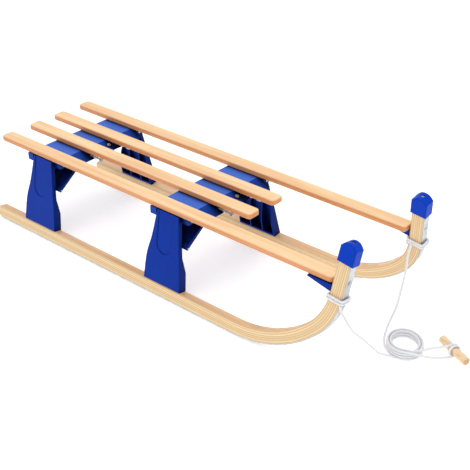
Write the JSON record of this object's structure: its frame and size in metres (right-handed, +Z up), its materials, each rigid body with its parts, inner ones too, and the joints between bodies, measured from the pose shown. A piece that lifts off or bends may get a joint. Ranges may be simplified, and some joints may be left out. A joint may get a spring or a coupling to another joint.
{
  "type": "wooden sledge",
  "caption": "Folding wooden sledge with slatted seat, bent runners, blue legs and cross-beams, horn caps and a coiled white pull rope with a wooden handle.",
  "frame": {"origin": "centre of the sledge's footprint on the ground, without the free rope and its handle", "axes": "+X towards the horns, +Y to the rider's left, +Z up"},
  "size_m": [1.2659, 0.3696, 0.3068],
  "materials": {
    "slat_wood": "clear varnished beech",
    "runner_wood": "clear varnished laminate, layers seen on the sides",
    "blue_plastic": "satin moulded",
    "steel": "zinc plated",
    "rope": "braided",
    "handle_wood": "turned, clear varnished"
  },
  "bodies": {
    "seat": {"slat_right_outer": "slat_wood", "slat_right_inner": "slat_wood", "slat_left_inner": "slat_wood", "slat_left_outer": "slat_wood", "rear_beam": "blue_plastic", "rear_beam_bolt": "steel", "right_rear_hinge_pin": "steel", "right_rear_stay_pin": "steel", "rear_right_outer_slat_screw": "steel", "rear_right_inner_slat_screw": "steel", "left_rear_hinge_pin": "steel", "left_rear_stay_pin": "steel", "rear_left_outer_slat_screw": "steel", "rear_left_inner_slat_screw": "steel", "front_beam": "blue_plastic", "front_beam_bolt": "steel", "right_front_hinge_pin": "steel", "right_front_stay_pin": "steel", "front_right_outer_slat_screw": "steel", "front_right_inner_slat_screw": "steel", "left_front_hinge_pin": "steel", "left_front_stay_pin": "steel", "front_left_outer_slat_screw": "steel", "front_left_inner_slat_screw": "steel", "right_rope_stretch": "rope", "left_rope_stretch": "rope", "rope_coil_outer": "rope", "rope_coil_inner": "rope", "handle_strand": "rope", "pull_handle": "handle_wood"},
    "right_side": {"right_runner": "runner_wood", "right_runner_strip": "steel", "right_horn_cap": "blue_plastic", "right_cap_screw": "steel", "right_strip_screw": "steel", "right_front_rest": "blue_plastic", "right_horn_loop": "rope", "right_rear_leg": "blue_plastic", "right_rear_leg_bolt": "steel", "right_rear_brace_pin": "steel", "right_front_leg": "blue_plastic", "right_front_leg_bolt": "steel", "right_front_brace_pin": "steel"},
    "left_side": {"left_runner": "runner_wood", "left_runner_strip": "steel", "left_horn_cap": "blue_plastic", "left_cap_screw": "steel", "left_strip_screw": "steel", "left_front_rest": "blue_plastic", "left_horn_loop": "rope", "left_rear_leg": "blue_plastic", "left_rear_leg_bolt": "steel", "left_rear_brace_pin": "steel", "left_front_leg": "blue_plastic", "left_front_leg_bolt": "steel", "left_front_brace_pin": "steel"},
    "right_braces": {"right_rear_brace": "blue_plastic", "right_front_brace": "blue_plastic"},
    "left_braces": {"left_rear_brace": "blue_plastic", "left_front_brace": "blue_plastic"}
  },
  "joints": [
    {"name": "right_fold", "type": "hinge", "parent": "seat", "child": "right_side", "pos_m": [-0.162, -0.128, 0.199], "axis": [1, 0, 0], "range_deg": [0, 90], "deforming": ["right_rope_stretch"]},
    {"name": "left_fold", "type": "hinge", "parent": "seat", "child": "left_side", "pos_m": [-0.162, 0.128, 0.199], "axis": [-1, 0, 0], "range_deg": [0, 55], "deforming": ["left_rope_stretch"]},
    {"name": "right_brace_fold", "type": "hinge", "parent": "right_side", "child": "right_braces", "pos_m": [-0.162, -0.143, 0.135], "axis": [1, 0, 0], "range_deg": [-129, 0]},
    {"name": "left_brace_fold", "type": "hinge", "parent": "left_side", "child": "left_braces", "pos_m": [-0.162, 0.143, 0.135], "axis": [-1, 0, 0], "range_deg": [-129, 0]}
  ],
  "couplings": [
    {"joint": "right_brace_fold", "follows": "right_fold", "ratio": -1.4222},
    {"joint": "left_brace_fold", "follows": "left_fold", "ratio": -2.3273}
  ]
}
